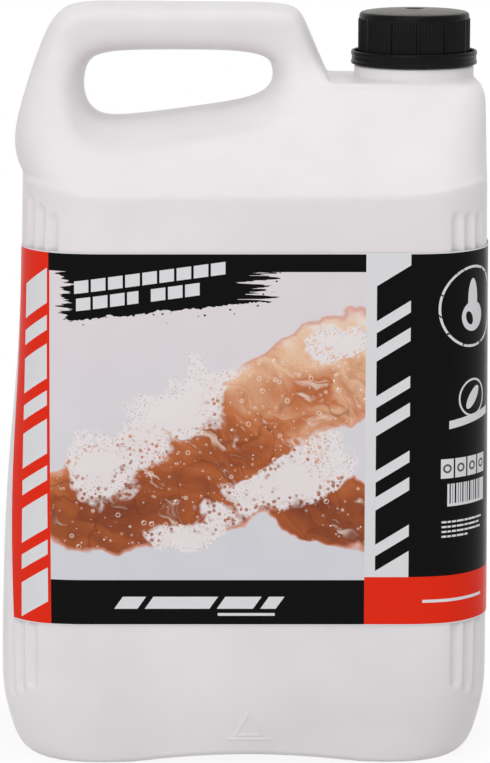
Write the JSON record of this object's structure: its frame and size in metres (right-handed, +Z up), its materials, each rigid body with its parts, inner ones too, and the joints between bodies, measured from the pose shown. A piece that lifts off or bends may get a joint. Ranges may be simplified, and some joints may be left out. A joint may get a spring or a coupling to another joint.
{
  "type": "five litre canister",
  "caption": "White blow-moulded canister of hand cleaning paste with an integral handle, black screw cap, tamper ring and printed wraparound label.",
  "frame": {"origin": "on the standing plane, under the middle of the body's width and depth", "axes": "+Z up, +X towards the neck's side, the handle is on the -X side and the printed front looks along -Y"},
  "size_m": [0.1924, 0.1275, 0.2936],
  "materials": {
    "canister_white": "natural white polyethylene, satin, very slightly translucent",
    "paste": "thick cream coloured paste, stood in for by a solid",
    "label_film": "printed self-adhesive film, semi-gloss",
    "closure_black": "black polypropylene, satin",
    "liner_foam": "foam sealing disc, matt"
  },
  "bodies": {
    "canister": {"canister": "canister_white", "cleaning_paste": "paste", "tamper_ring": "closure_black", "label": "label_film"},
    "liner": {"cap_liner": "liner_foam"},
    "cap": {"screw_cap": "closure_black"}
  },
  "joints": [
    {"name": "cap_lift", "type": "slide", "parent": "canister", "child": "liner", "axis": [0, 0, 1], "range_m": [0, 0.0181]},
    {"name": "cap_turn", "type": "hinge", "parent": "liner", "child": "cap", "pos_m": [0.067, 0, 0.28], "axis": [0, 0, 1], "range_deg": [0, 1080]}
  ],
  "couplings": [
    {"joint": "cap_lift", "follows": "cap_turn", "m_per_rad": 0.00095493}
  ]
}
